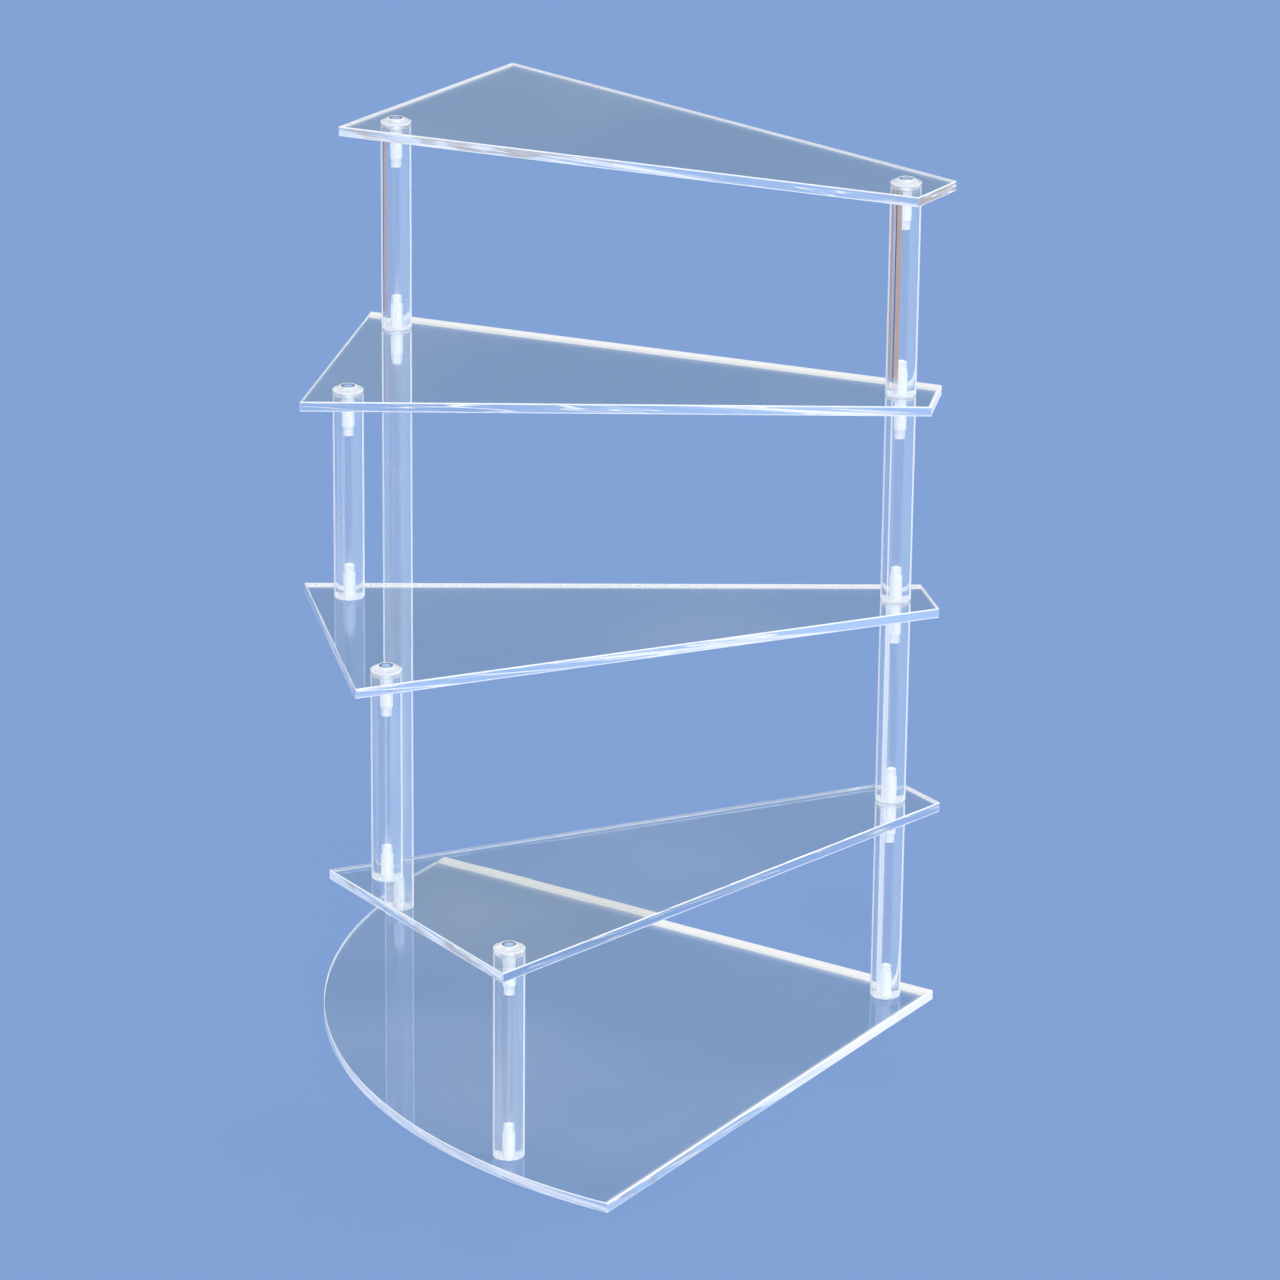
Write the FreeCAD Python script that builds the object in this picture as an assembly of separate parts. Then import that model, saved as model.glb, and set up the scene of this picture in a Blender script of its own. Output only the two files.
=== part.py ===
"""Tiered shelf riser: four wedge shelves that climb round one corner column like a spiral stair.

All sizes are in millimetres, +Z is up and the base plate lies on Z = 0. The two straight edges of
the base plate run along X (the back edge) and along Y (the right edge). Everything is first built
round the pivot column, whose axis is X = Y = 0, and moved at the end, so that the origin is the
middle of the whole stand's footprint.
"""

import FreeCAD, Part
import math
import os

from FreeCAD import Vector

# ---------------------------------------------------------------- driving dimensions

sheet = 5.0                 # thickness of the base plate and of every shelf
rod_diameter = 15.0         # all posts are cut from one round rod
post_length = 100.0         # clear height between two plates
shelf_count = 4

base_radius = 280.0         # the base plate's curved edge, struck from the pivot hole
base_margin = 17.5          # from the pivot hole to each of its straight edges
curve_margin = 14.0         # from the outer posts' axes in to the curved edge

wide_width = 150.0          # a shelf's outer end
narrow_width = 35.0         # a shelf's end at the pivot
side_margin = 22.5          # across the shelf, from an outer hole to the corner of the outer end
wide_margin = 18.5          # along the shelf, from the line through the outer holes to that end
narrow_margin = 17.5        # from the pivot hole to the narrow end

plate_arris = 0.3           # the small flat that takes the sharpness off a plate's edges
rod_arris = 0.25            # and off a post's two end edges

thread_diameter = 4.0       # M4 studs and screws
thread_clearance = 0.05     # radial room between a thread and its tapped hole
pass_clearance = 0.2        # radial room between a thread and a plate's plain hole
tap_drill = 3.3             # the pilot hole that an M4 tap follows
tapped_depth = 13.0         # full thread in a post's end
drill_run_out = 4.0         # how far the pilot hole goes on past the thread
drill_point_angle = 118.0   # the cone at the bottom of the pilot hole
stud_end_gap = 0.5          # a joining stud stops this short of the upper post's thread end

cap_height = 2.5            # the button that closes a column
cap_rim = 0.6               # its straight rim, under the bevel
cap_flat_diameter = 7.5     # the flat that the bevel leaves on top
cap_socket_depth = 1.6      # the blind hole that its stud is bonded into

head_diameter = 7.6         # countersunk screw, across the head
head_angle = 90.0           # and the cone's full angle
head_sink = 0.2             # how far the head lies inside the plate's underside
slot_width = 1.0            # the screwdriver slot across the head
slot_depth = 1.1
screw_bite = 11.0           # thread that a screw has in a post

# ---------------------------------------------------------------- derived sizes

pivot_to_post = base_radius - curve_margin
post_spacing = wide_width - 2 * side_margin
turn = 2 * math.degrees(math.asin(post_spacing / 2 / pivot_to_post))
storey = post_length + sheet
outer_hole_reach = math.sqrt(pivot_to_post**2 - (post_spacing / 2) ** 2)
shelf_reach = outer_hole_reach + wide_margin
drilled_depth = tapped_depth + drill_run_out
support_length = (shelf_count - 1) * storey - sheet

# The fan of shelves is centred on the quarter of the base plate, whose middle lies at 225 degrees.
base_middle_angle = 225.0
first_post_angle = base_middle_angle + (shelf_count - 1) * turn / 2

DOWN = Vector(0, 0, -1)
UP = Vector(0, 0, 1)


def top_of(level):
    """Height of the upper face of a plate: level 0 is the base plate, level 1 the lowest shelf."""
    return sheet + level * storey


def at_angle(radius, angle, z=0.0):
    """The point that lies radius away from the pivot column, in the direction angle."""
    return Vector(
        radius * math.cos(math.radians(angle)),
        radius * math.sin(math.radians(angle)),
        z,
    )


def station(number, z=0.0):
    """Centre of outer post position number: 0 is the front one, and they go up with the stair."""
    return at_angle(pivot_to_post, first_post_angle - number * turn, z)


PIVOT = Vector(0, 0, 0)

# ---------------------------------------------------------------- shapes that repeat


def cylinder(diameter, length, place, direction=UP):
    return Part.makeCylinder(diameter / 2, length, place, direction)


def prism(wire, arris):
    """A plate of the sheet's thickness with the outline wire, and a small flat on every edge."""
    solid = Part.Face(wire).extrude(UP * sheet)
    return solid.makeChamfer(arris, solid.Edges)


def plain_hole(centre):
    """The hole that a stud or screw passes through a plate by."""
    return cylinder(thread_diameter + 2 * pass_clearance, sheet, centre)


def countersink_cone(mouth_diameter, point):
    """The cone of a countersunk head, widest at point, which narrows upwards to the thread."""
    depth = (mouth_diameter - thread_diameter) / 2 / math.tan(math.radians(head_angle / 2))
    return Part.makeCone(mouth_diameter / 2, thread_diameter / 2, depth, point, UP)


def countersink(centre):
    """The cut that lets a screw's head into a plate from below."""
    grow = 2 * head_sink * math.tan(math.radians(head_angle / 2))
    return countersink_cone(head_diameter + grow, centre)


def tapped_hole(mouth, direction):
    """A blind hole in a post's end: the thread, the pilot hole past it and the drill's point."""
    thread = cylinder(thread_diameter + 2 * thread_clearance, tapped_depth, mouth, direction)
    pilot = cylinder(tap_drill, drilled_depth, mouth, direction)
    point_depth = tap_drill / 2 / math.tan(math.radians(drill_point_angle / 2))
    bottom = mouth + direction * drilled_depth
    point = Part.makeCone(tap_drill / 2, 0, point_depth, bottom, direction)
    return thread.fuse([pilot, point])


def post(centre, lower_level, length=post_length):
    """A clear rod that stands on a plate, with a tapped hole in each end."""
    foot = Vector(centre.x, centre.y, top_of(lower_level))
    head = foot + UP * length
    body = cylinder(rod_diameter, length, foot)
    rims = [edge for edge in body.Edges if edge.Closed]
    body = body.makeChamfer(rod_arris, rims)
    return body.cut([tapped_hole(foot, UP), tapped_hole(head, DOWN)])


def cap(centre, level):
    """The bevelled button on a plate, over a post: a rim, a cone, and a blind hole for its stud."""
    seat = Vector(centre.x, centre.y, top_of(level))
    rim = cylinder(rod_diameter, cap_rim, seat)
    bevel = Part.makeCone(
        rod_diameter / 2, cap_flat_diameter / 2, cap_height - cap_rim, seat + UP * cap_rim, UP
    )
    socket = cylinder(thread_diameter + 2 * thread_clearance, cap_socket_depth, seat)
    return rim.fuse(bevel).cut(socket).removeSplitter()


def joining_stud(centre, level):
    """The stud that holds two posts together through a plate. It bottoms in the lower post."""
    length = tapped_depth + sheet + tapped_depth - stud_end_gap
    foot = Vector(centre.x, centre.y, top_of(level) - sheet - tapped_depth)
    return cylinder(thread_diameter, length, foot)


def cap_stud(centre, level):
    """The stud that holds a cap down on a plate. It bottoms in the post under the plate."""
    length = tapped_depth + sheet + cap_socket_depth
    foot = Vector(centre.x, centre.y, top_of(level) - sheet - tapped_depth)
    return cylinder(thread_diameter, length, foot)


def foot_screw(centre, level):
    """A countersunk screw that holds a post's foot down on a plate, from below."""
    underside = Vector(centre.x, centre.y, top_of(level) - sheet)
    face = underside + UP * head_sink
    shank = cylinder(thread_diameter, sheet - head_sink + screw_bite, face)
    slot = Part.makeBox(head_diameter, slot_width, slot_depth)
    slot.translate(face - Vector(head_diameter / 2, slot_width / 2, 0))
    return shank.fuse(countersink_cone(head_diameter, face)).cut(slot).removeSplitter()


# ---------------------------------------------------------------- plates


def base_plate():
    """A quarter sector: two straight edges that meet behind the pivot hole, and a curved edge."""
    corner = Vector(base_margin, base_margin, 0)
    edge_reach = math.sqrt(base_radius**2 - base_margin**2)
    left = Vector(-edge_reach, base_margin, 0)
    front = Vector(base_margin, -edge_reach, 0)
    curve = Part.Arc(left, at_angle(base_radius, base_middle_angle), front)
    wire = Part.Wire(
        [
            Part.makeLine(corner, left),
            curve.toShape(),
            Part.makeLine(front, corner),
        ]
    )
    feet = [PIVOT, station(0), station(shelf_count - 1)]
    holes = [plain_hole(centre) for centre in feet]
    sinks = [countersink(centre) for centre in feet]
    return prism(wire, plate_arris).cut(holes + sinks)


def shelf(level):
    """A wedge with its narrow end at the pivot, turned one step further than the shelf below."""
    half_wide = wide_width / 2
    half_narrow = narrow_width / 2
    corners = [
        Vector(shelf_reach, half_wide, 0),
        Vector(-narrow_margin, half_narrow, 0),
        Vector(-narrow_margin, -half_narrow, 0),
        Vector(shelf_reach, -half_wide, 0),
    ]
    plate = prism(Part.makePolygon(corners + corners[:1]), plate_arris)
    plate.rotate(PIVOT, UP, first_post_angle - (level - 0.5) * turn)

    holes = [plain_hole(PIVOT), plain_hole(station(level - 1))]
    if level < shelf_count:
        holes.append(plain_hole(station(level)))
    if level < shelf_count - 1:
        holes.append(countersink(station(level)))
    plate = plate.cut(holes)
    plate.translate(UP * (top_of(level) - sheet))
    return plate


# ---------------------------------------------------------------- the stand

nodes = {"base_plate": base_plate()}

for level in range(1, shelf_count + 1):
    nodes[f"shelf_{level}"] = shelf(level)

    # The pivot column: one post under each shelf, joined through it, with a cap on the last.
    nodes[f"pivot_post_{level}"] = post(PIVOT, level - 1)
    if level < shelf_count:
        nodes[f"pivot_stud_{level}"] = joining_stud(PIVOT, level)

    # The outer posts: each holds up the front hole of its shelf and ends there under a cap.
    here = station(level - 1)
    nodes[f"outer_post_{level}"] = post(here, level - 1)
    nodes[f"outer_cap_{level}"] = cap(here, level)
    nodes[f"outer_cap_stud_{level}"] = cap_stud(here, level)
    if level < shelf_count:
        nodes[f"outer_post_screw_{level}"] = foot_screw(here, level - 1)

nodes["pivot_cap"] = cap(PIVOT, shelf_count)
nodes["pivot_cap_stud"] = cap_stud(PIVOT, shelf_count)
nodes["pivot_foot_screw"] = foot_screw(PIVOT, 0)

# The last outer post has no shelf below it that reaches the ground, so a long post stands there.
last = station(shelf_count - 1)
nodes["support_post"] = post(last, 0, support_length)
nodes["support_stud"] = joining_stud(last, shelf_count - 1)
nodes["support_foot_screw"] = foot_screw(last, 0)

# ---------------------------------------------------------------- origin and files

whole = Part.makeCompound(list(nodes.values())).BoundBox
to_origin = Vector(-whole.Center.x, -whole.Center.y, -whole.ZMin)

os.makedirs("parts", exist_ok=True)
for name, shape in nodes.items():
    shape.translate(to_origin)
    shape.exportStep(f"parts/{name}.step")
    print(f"{name:20s} {len(shape.Solids)} solid  valid {shape.isValid()}  {shape.Volume:10.1f} mm3")
print(f"{len(nodes)} nodes, each shelf turned {turn:.2f} degrees")
print(f"overall {whole.XLength:.1f} x {whole.YLength:.1f} x {whole.ZLength:.1f} mm")
print(f"pivot axis at X {to_origin.x:.2f}, Y {to_origin.y:.2f}")
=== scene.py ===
# %% [markdown]
# # A clear acrylic shelf riser
# Four wedge shelves climb round one corner column like a spiral stair, over a quarter-round base.
# Clear plastic has almost no colour of its own. What the eye reads is how it bends what lies
# behind it, how its cut edges shine, and the white fixings inside the posts. So most of this
# lesson is about edges, ends and threads, and about a studio that gives them something to show.

# %% Load the frame
import math

import bpy
from mathutils import Matrix, Vector


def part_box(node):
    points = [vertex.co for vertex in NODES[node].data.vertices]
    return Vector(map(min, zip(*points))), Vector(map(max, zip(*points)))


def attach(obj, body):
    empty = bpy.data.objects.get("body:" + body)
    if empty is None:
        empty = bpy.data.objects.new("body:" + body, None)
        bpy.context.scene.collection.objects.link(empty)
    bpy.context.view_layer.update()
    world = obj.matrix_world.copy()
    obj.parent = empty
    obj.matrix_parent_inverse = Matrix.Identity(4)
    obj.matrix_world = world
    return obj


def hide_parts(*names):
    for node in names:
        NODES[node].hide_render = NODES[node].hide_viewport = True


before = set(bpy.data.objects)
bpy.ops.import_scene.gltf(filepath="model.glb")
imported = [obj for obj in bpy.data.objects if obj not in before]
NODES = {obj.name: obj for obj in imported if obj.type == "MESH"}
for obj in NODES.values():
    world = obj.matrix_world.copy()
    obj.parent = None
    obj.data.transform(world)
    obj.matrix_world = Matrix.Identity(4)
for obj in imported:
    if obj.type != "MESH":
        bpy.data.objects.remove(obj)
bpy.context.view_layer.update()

MM = 0.001
scene = bpy.context.scene
print("CAD nodes:", len(NODES))

# %% [markdown]
# ## Where things are
# Every place comes from the CAD frame. The stand has one corner column and four outer stations,
# and each station lies one turn further round and one storey higher than the last. Those few
# numbers are measured here once, and everything that repeats is placed by them later.

# %% Measure the stair
def middle(node):
    """Centre of a CAD node's box."""
    low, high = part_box(node)
    return (low + high) / 2


def foot_height(node):
    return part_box(node)[0].z


def height(node):
    low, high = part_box(node)
    return high.z - low.z


STEPS = sum(name.startswith("shelf_") for name in NODES)
COLUMN = middle("pivot_post_1").xy
FIRST = middle("outer_post_1").xy - COLUMN
SECOND = middle("outer_post_2").xy - COLUMN
REACH = FIRST.length
FIRST_ANGLE = math.atan2(FIRST.y, FIRST.x)
TURN = math.atan2(SECOND.y, SECOND.x) - FIRST_ANGLE
STOREY = foot_height("outer_post_2") - foot_height("outer_post_1")
ROD_RADIUS = (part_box("pivot_post_1")[1].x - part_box("pivot_post_1")[0].x) / 2
print(f"{STEPS} steps, reach {REACH:.4f} m, turn {math.degrees(TURN):.2f} degrees")
print(f"storey {STOREY:.4f} m, rod radius {ROD_RADIUS:.5f} m")

# %% [markdown]
# ## The camera
# It stands to the right of the front and looks down on the shelves, from far away with a long
# lens, so that the uprights stay nearly parallel. Its place is written as two angles and a
# distance, because those are easy to judge and to change. It leans over by a little more than
# half a degree, as a camera in the hand does.

# %% Place the camera
UP = Vector((0, 0, 1))
VIEW_ROUND = math.radians(32.742)
VIEW_ABOVE = math.radians(20.270)
VIEW_LEAN = math.radians(0.602)
VIEW_DISTANCE = 2.950
LOOK_HEIGHT = 0.180
LOOK_ASIDE = -0.1243
LOOK_ABOVE = 0.0113
SENSOR_WIDTH = 36
LENS = 169.48
FARTHEST_SEEN = 200


def direction(azimuth, elevation):
    """The way from the stand to something that stands round it: 0 is the front, 90 the right."""
    flat = math.cos(elevation)
    return Vector((math.sin(azimuth) * flat, -math.cos(azimuth) * flat, math.sin(elevation)))


def put(name, data):
    """A new object in the scene, for a mesh, a lamp or a camera."""
    made = bpy.data.objects.new(name, data)
    scene.collection.objects.link(made)
    return made


back = direction(VIEW_ROUND, VIEW_ABOVE)
level_right = UP.cross(back).normalized()
level_up = back.cross(level_right)
right = level_right * math.cos(VIEW_LEAN) + level_up * math.sin(VIEW_LEAN)
up = level_up * math.cos(VIEW_LEAN) - level_right * math.sin(VIEW_LEAN)
target = COLUMN.to_3d() + UP * LOOK_HEIGHT + level_right * LOOK_ASIDE + level_up * LOOK_ABOVE

camera_data = bpy.data.cameras.new("camera")
camera_data.sensor_width = SENSOR_WIDTH
camera_data.lens = LENS
camera_data.clip_end = FARTHEST_SEEN
camera = put("camera", camera_data)
facing = Matrix((right, up, back)).transposed().to_4x4()
camera.matrix_world = Matrix.Translation(target + back * VIEW_DISTANCE) @ facing
scene.camera = camera
print("camera at", [round(value, 3) for value in camera.location])

# %% [markdown]
# ## Sums on sockets
# Materials and Geometry Nodes are both graphs of small nodes, and long chains of Math nodes are
# hard to read. So one class wraps an output socket and lets Python's own signs do the sums:
# each operator adds one Math node and gives back its result as the next value.

# %% A value in a graph
class Value:
    """An output socket that can be used in sums."""

    def __init__(self, graph, socket):
        self.graph = graph
        self.socket = socket

    def beside(self, name):
        """Another output of the same node."""
        return Value(self.graph, self.socket.node.outputs[name])

    def math(self, operation, first, second=0.0):
        return self.graph.node("ShaderNodeMath", {"operation": operation}, {0: first, 1: second})

    def __add__(self, other):
        return self.math("ADD", self, other)

    def __sub__(self, other):
        return self.math("SUBTRACT", self, other)

    def __rsub__(self, other):
        return self.math("SUBTRACT", other, self)

    def __mul__(self, other):
        return self.math("MULTIPLY", self, other)

    def __truediv__(self, other):
        return self.math("DIVIDE", self, other)

    def __abs__(self):
        return self.math("ABSOLUTE", self)

    __radd__ = __add__
    __rmul__ = __mul__

    def highest(self, other):
        return self.math("MAXIMUM", self, other)

    def lowest(self, other):
        return self.math("MINIMUM", self, other)

    def root(self):
        return self.math("SQRT", self)

    def fraction(self):
        return self.math("FRACT", self)

    def angle_from(self, across):
        """The angle of a direction whose upward part is this value."""
        return self.math("ARCTAN2", self, across)


print("what a value can do:", [name for name, made in vars(Value).items() if callable(made)])

# %% [markdown]
# ## One method for every node
# A node is its type, its settings, and what goes into its sockets, in that order, because some
# settings change the sockets. One method takes those three. The short ones below it name the
# nodes that are used over and over: a place, a vector, a soft step, a noise and a blend.

# %% A graph
def rgba(colour):
    """A colour with its alpha. A value from the graph stays as it is."""
    return colour if isinstance(colour, Value) else (*colour, 1)


class Graph:
    """A node tree that is filled by calls."""

    def __init__(self, tree):
        self.tree = tree
        self.tree.nodes.clear()

    def node(self, kind, settings=None, inputs=None, out=0):
        made = self.tree.nodes.new(kind)
        for name, value in (settings or {}).items():
            setattr(made, name, value)
        for key, value in (inputs or {}).items():
            if isinstance(value, Value):
                self.tree.links.new(value.socket, made.inputs[key])
            else:
                made.inputs[key].default_value = value
        if not made.outputs:
            return None
        return Value(self, made.outputs[out])

    def place(self):
        """Where a point is in the frame, in metres."""
        return self.node("ShaderNodeTexCoord", out="Object")

    def attribute(self, name, out="Fac"):
        """What the rings of a turned piece say at a point."""
        return self.node("ShaderNodeAttribute", {"attribute_name": name}, {}, out)

    def vector(self, x=0.0, y=0.0, z=0.0):
        return self.node("ShaderNodeCombineXYZ", {}, {"X": x, "Y": y, "Z": z})

    def split(self, vector):
        """The three parts of a vector."""
        x = self.node("ShaderNodeSeparateXYZ", {}, {0: vector}, "X")
        return x, x.beside("Y"), x.beside("Z")

    def ramp(self, value, low, high):
        """0 where value is under low, 1 where it is over high, and smooth between them."""
        settings = {"interpolation_type": "SMOOTHSTEP"}
        return self.node("ShaderNodeMapRange", settings, {"Value": value, 1: low, 2: high})

    def noise(self, place, scale, detail=2.0):
        """An uneven pattern, with about this many patches in a metre."""
        inputs = {"Vector": place, "Scale": scale, "Detail": detail}
        return self.node("ShaderNodeTexNoise", {}, inputs, "Fac")

    def vector_math(self, operation, inputs):
        return self.node("ShaderNodeVectorMath", {"operation": operation}, inputs)

    def stretched(self, place, scale):
        """place with each axis scaled by itself."""
        return self.vector_math("MULTIPLY", {0: place, 1: scale})

    def blend(self, share, first, second):
        """The colour first where share is 0, second where it is 1."""
        inputs = {0: share, 6: rgba(first), 7: rgba(second)}
        return self.node("ShaderNodeMix", {"data_type": "RGBA"}, inputs, 2)

    def principled(self, inputs):
        return self.node("ShaderNodeBsdfPrincipled", {}, inputs)

    def mixed(self, share, first, second):
        """The shader first where share is 0, second where it is 1."""
        return self.node("ShaderNodeMixShader", {}, {0: share, 1: first, 2: second})

    def output(self, surface):
        self.node("ShaderNodeOutputMaterial", {}, {"Surface": surface})


def new_material(name):
    material = bpy.data.materials.new(name)
    material.use_nodes = True
    return material, Graph(material.node_tree)


print("short ways to make a node:", [name for name in vars(Graph) if not name.startswith("_")])

# %% [markdown]
# ## Clear acrylic
# Polished acrylic is one clear body with an index of refraction of 1.49. A sawn, drilled or
# tapped surface of the same plastic scatters light and looks white. A single shader could take
# its roughness from a map, but rough glass only blurs what lies behind it and never turns white,
# so each finish mixes a clear shader with a milky one by how rough the cut was. Light from the
# lamps would have to find its way through every bend in the glass, which leaves black shadows,
# so for shadow rays and for light bounced off dull things the plastic is simply see-through.

# %% The clear body
ROD_TINT = (0.985, 0.993, 1.0)
SHEET_TINT = (0.975, 0.985, 0.975)
SHADOW_TINT = (0.975, 0.98, 0.985)
ACRYLIC_IOR = 1.49
POLISHED = 0.004
MILKY = 0.45
MOST_WHITE = 0.95
RELIEF = {"Strength": 0.02, "Distance": MM}


def clear_or_cut(graph, tint, cut, white, roughness, normal):
    """Acrylic that is clear where cut is 0 and milky where it is 1."""
    clear_inputs = {
        "Base Color": rgba(tint),
        "Roughness": roughness,
        "IOR": ACRYLIC_IOR,
        "Transmission Weight": 1.0,
        "Normal": normal,
    }
    clear = graph.principled(clear_inputs)
    milky_inputs = {"Base Color": white, "Roughness": MILKY, "Normal": normal}
    milky = graph.principled(milky_inputs)
    body = graph.mixed(cut, clear, milky)
    shadow = graph.node("ShaderNodeLightPath", out="Is Shadow Ray")
    see_through = graph.node("ShaderNodeBsdfTransparent", {}, {"Color": rgba(SHADOW_TINT)})
    graph.output(graph.mixed(shadow.highest(shadow.beside("Is Diffuse Ray")), body, see_through))


def bumped(graph, height_map):
    """A very faint relief, as on cast or drawn plastic."""
    return graph.node("ShaderNodeBump", {}, {**RELIEF, "Height": height_map})


print("clear acrylic bends light by an index of", ACRYLIC_IOR)

# %% [markdown]
# ## The sides of a plate
# What makes a clear plate visible is its outline. Each side has its own look, partly its own
# sawn finish and partly painted light, and the material has to know which side a point is near.
# A straight side is a line in the plan, and a line is a direction and an offset: the distance in
# from it is the offset less the point's reach in that direction. Both are measured from the CAD
# plate's own faces, so the finish stays on its side if a size changes. The sides are told apart by
# the angle from the way that the plate points.

# %% Measure the sides
NEARLY_UPRIGHT = 0.01
LEAST_SIDE_AREA = 5e-5


def angle_between(first, second):
    """From first to second, in degrees, from -180 to 180."""
    return (second - first + 180) % 360 - 180


def plate_sides(node):
    """The straight sides of a plate: each one's angle, its outward way and its offset."""
    out = middle(node).xy - COLUMN
    outward = math.degrees(math.atan2(out.y, out.x))
    sides = []
    for face in NODES[node].data.polygons:
        if abs(face.normal.z) < NEARLY_UPRIGHT and face.area > LEAST_SIDE_AREA:
            way = face.normal.xy.normalized()
            angle = angle_between(outward, math.degrees(math.atan2(way.y, way.x)))
            sides.append((angle, way, way.dot(face.center.xy)))
    return sides


def side_towards(node, angle):
    """The side that faces nearest to this angle: its outward way and its offset."""
    nearest = min(plate_sides(node), key=lambda side: abs(angle_between(side[0], angle)))
    return nearest[1:]


ROUND_REACH = max((vertex.co.xy - COLUMN).length for vertex in NODES["base_plate"].data.vertices)
for node in ("base_plate", "shelf_1"):
    print(node, "has sides towards", sorted({round(side[0]) for side in plate_sides(node)}))
print(f"the base's curved side is struck {ROUND_REACH:.4f} m from the column")

# %% [markdown]
# ## What a finish says
# A finish describes one side: how white the cut was left, how much of it is clear again in long
# slanting streaks, where a painted warm reflection shows in it, how far painted white spreads into
# the plate as a glow, how far a softer painted glow reaches past that, and whether a saw left
# marks. White, clear and warm may be a pair: beside the column, and far out from it.

# %% The finish of one side
def as_pair(value):
    return value if isinstance(value, tuple) else (value, value)


class Side:
    """The finish of one side, with its painted warm reflection and painted glow. Spread and glow are in
    millimetres.
    """

    def __init__(self, white, clear=0.0, warm=0.0, spread=0.3, painted_glow=0.0, marks=0.0):
        self.white = as_pair(white)
        self.clear = as_pair(clear)
        self.warm = as_pair(warm)
        self.spread = spread * MM
        self.painted_glow = painted_glow * MM
        self.marks = marks


WIDE, NARROW, FRONT, REAR = 0, 180, 101, -101
BACK, RIGHT, ROUND = -135, 135, "round"
# Each side's white is partly its sawn finish and partly painted light; its glow and warm tone are
# painted light.
SIDES_OF = {
    "shelf_1": {
        FRONT: Side((0.3, 0.05), (0.85, 1.0)),
        REAR: Side(0.3),
        WIDE: Side(1.0, 0.25, 0.35),
        NARROW: Side(1.0, spread=1.2),
    },
    "shelf_2": {
        FRONT: Side((0.8, 0.6), (0.60, 0.75)),
        REAR: Side(1.0, spread=2.6, painted_glow=6.0, marks=0.7),
        WIDE: Side(0.35, 0.7),
        NARROW: Side(0.9, spread=0.6),
    },
    "shelf_3": {
        FRONT: Side((0.8, 0.3), (0.60, 0.95)),
        REAR: Side(1.0, spread=6.5, painted_glow=16.0),
        WIDE: Side(0.8, 0.1),
        NARROW: Side(1.0, spread=1.5),
    },
    "shelf_4": {
        FRONT: Side((0.6, 0.9), (0.90, 0.25), (0.0, 0.6)),
        REAR: Side(1.0, spread=0.8),
        WIDE: Side(1.0, spread=0.9, painted_glow=6.0),
        NARROW: Side(0.8, 0.3, 0.95),
    },
    "base_plate": {
        BACK: Side(1.0, spread=6.0, painted_glow=16.0),
        RIGHT: Side(1.0, (0.0, 0.80), (0.0, 0.3), spread=1.0, painted_glow=4.0),
        ROUND: Side(0.9, 0.30),
    },
}
print("sides with a finish:", sum(len(finishes) for finishes in SIDES_OF.values()))

# %% [markdown]
# ## Laying the finishes on
# Each quantity of the finish becomes one map over the plate. A side's mask is 1 within half a
# millimetre of it and 0 elsewhere, so the maps of all sides can simply be laid over each other
# by taking the highest. One more map runs along the sides in metres, for streaks and saw marks.

# %% Maps over a plate
ON_SIDE = (0.4 * MM, 0.7 * MM)
FAR_OUT = (0.25 * REACH, 0.85 * REACH)
SPREAD_ENDS = (0.7, 1.3)
GLOW_SHARE = 0.6


class SideMaps:
    """Where a plate is white, clear, painted warm, marked and painted glowing, by its sides' finishes.
    """

    def __init__(self, graph, node, place):
        self.graph = graph
        self.node = node
        self.x, self.y, self.z = graph.split(place)
        self.from_x = self.x - COLUMN.x
        self.from_y = self.y - COLUMN.y
        self.reach = (self.from_x * self.from_x + self.from_y * self.from_y).root()
        self.far_out = graph.ramp(self.reach, *FAR_OUT)
        self.along = self.white = self.clear = self.warm = self.marked = self.spread = 0.0
        for angle, side in SIDES_OF[node].items():
            self.lay_on(angle, side)

    def measure(self, angle):
        """How far a point lies inside a side, and how far along it, in metres."""
        if angle == ROUND:
            return ROUND_REACH - self.reach, self.from_y.angle_from(self.from_x) * ROUND_REACH
        way, offset = side_towards(self.node, angle)
        return offset - (self.x * way.x + self.y * way.y), self.y * way.x - self.x * way.y

    def lay_on(self, angle, side):
        inside, run = self.measure(angle)
        near = 1 - self.graph.ramp(inside, *ON_SIDE)
        self.along = near * run + self.along
        for name in ("white", "clear", "warm"):
            beside_column, far = getattr(side, name)
            amount = self.far_out * (far - beside_column) + beside_column
            setattr(self, name, (near * amount).highest(getattr(self, name)))
        self.marked = near * side.marks + self.marked
        # Painted glow: white laid on the face beside the side, and a softer painted glow past it.
        spread = 1 - self.graph.ramp(inside, *(side.spread * end for end in SPREAD_ENDS))
        self.spread = spread.highest(self.spread)
        if side.painted_glow:
            fading = 1 - self.graph.ramp(inside, 0.0, side.painted_glow)
            self.spread = self.spread.highest(fading * fading * GLOW_SHARE)


print("a side's mask fades out", ON_SIDE[1] / MM, "mm from it")

# %% [markdown]
# ## The sheets
# The base and the shelves are cut from one 5 mm cast sheet. Its faces are clear, very slightly
# wavy, and hold a thin film of dust. A cut side could be left plain white, but the real ones
# catch the light in long slanting wedges, with thin bright lines along the arrises, which are
# painted highlights here. A noise that is stretched along the side and slanted gives the wedges,
# and where it passes one middle value it draws the bright scratches between them. A clear wedge
# isn't empty: the blue ground seen through the depth of the plate behind it is painted into it as
# a veil of blue. Near the lower arris of a sawn side, the saw's teeth left a row of small dark
# bites.

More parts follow.
